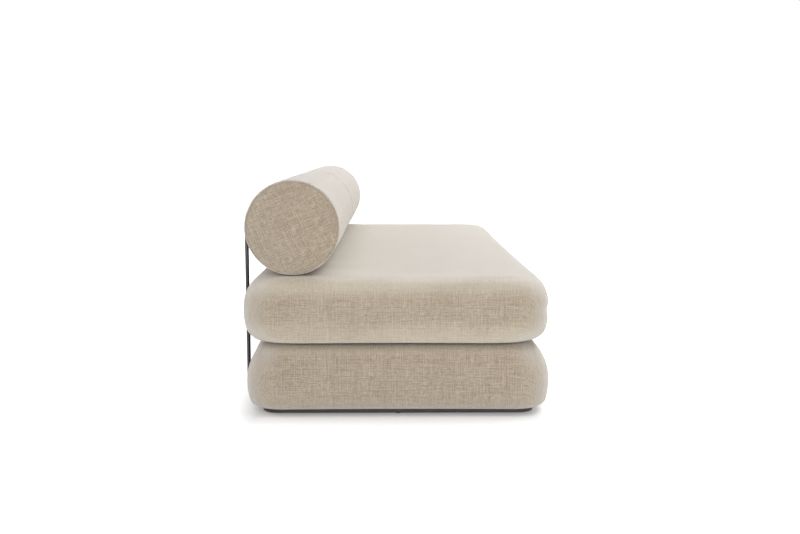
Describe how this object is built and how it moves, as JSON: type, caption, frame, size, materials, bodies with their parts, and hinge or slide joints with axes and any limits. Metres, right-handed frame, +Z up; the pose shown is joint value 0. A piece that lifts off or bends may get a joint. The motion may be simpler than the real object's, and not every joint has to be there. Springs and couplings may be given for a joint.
{
  "type": "sofa bed",
  "caption": "Low sofa bed: a loose fabric mattress stacked on an upholstered base of the same size, with round bolsters hung on slim steel hoops as a backrest.",
  "frame": {"origin": "on the floor, under the middle of the whole object's box", "axes": "+X to the right as seen from the front, +Y to the rear, where the bolsters are, +Z up"},
  "size_m": [2, 0.9229, 0.6872],
  "materials": {
    "upholstery": "beige slub weave with a soft pile",
    "dark_cloth": "plain black spunbond",
    "foam": "open-cell foam",
    "webbing": "black herringbone webbing",
    "timber": "sawn pine, unfinished",
    "plinth": "black stained, satin",
    "black_steel": "gloss black powder coat",
    "zinc_steel": "zinc plated",
    "glide": "matt"
  },
  "bodies": {
    "base": {"plinth_front_rail": "plinth", "plinth_rear_rail": "plinth", "plinth_left_rail": "plinth", "plinth_right_rail": "plinth", "plinth_centre_rail": "plinth", "glides": "glide", "plinth_screws": "zinc_steel", "hoop_tee_nuts": "zinc_steel", "frame_front_rail": "timber", "frame_rear_rail": "timber", "frame_left_rail": "timber", "frame_right_rail": "timber", "frame_cross_rails": "timber", "frame_corner_blocks": "timber", "deck_slats": "timber", "base_border_foam": "foam", "base_pad_foam": "foam", "base_cover": "upholstery", "base_dust_cloth": "dark_cloth", "hoop_left": "black_steel", "hoop_right": "black_steel", "hoop_spacers": "black_steel", "hoop_bolts": "black_steel"},
    "upper_mattress": {"upper_bottom_foam": "foam", "upper_core_foam": "foam", "upper_top_foam": "foam", "upper_cover": "upholstery", "upper_underside": "dark_cloth"},
    "bolster_left": {"bolster_left_sleeve": "upholstery", "bolster_left_outer_end": "upholstery", "bolster_left_inner_end": "upholstery", "bolster_left_foam": "foam", "bolster_left_batten": "timber", "bolster_left_loops": "webbing"},
    "bolster_right": {"bolster_right_sleeve": "upholstery", "bolster_right_outer_end": "upholstery", "bolster_right_inner_end": "upholstery", "bolster_right_foam": "foam", "bolster_right_batten": "timber", "bolster_right_loops": "webbing"}
  },
  "joints": [
    {"name": "upper_mattress_slide", "type": "slide", "parent": "base", "child": "upper_mattress", "axis": [0, -1, 0], "range_m": [0, 0.44]},
    {"name": "bolster_left_swing", "type": "hinge", "parent": "base", "child": "bolster_left", "pos_m": [-0.4785, 0.45296, 0.54899], "axis": [-1, 0, 0], "range_deg": [0, 190]},
    {"name": "bolster_right_swing", "type": "hinge", "parent": "base", "child": "bolster_right", "pos_m": [0.4785, 0.45296, 0.54899], "axis": [-1, 0, 0], "range_deg": [0, 190]}
  ]
}
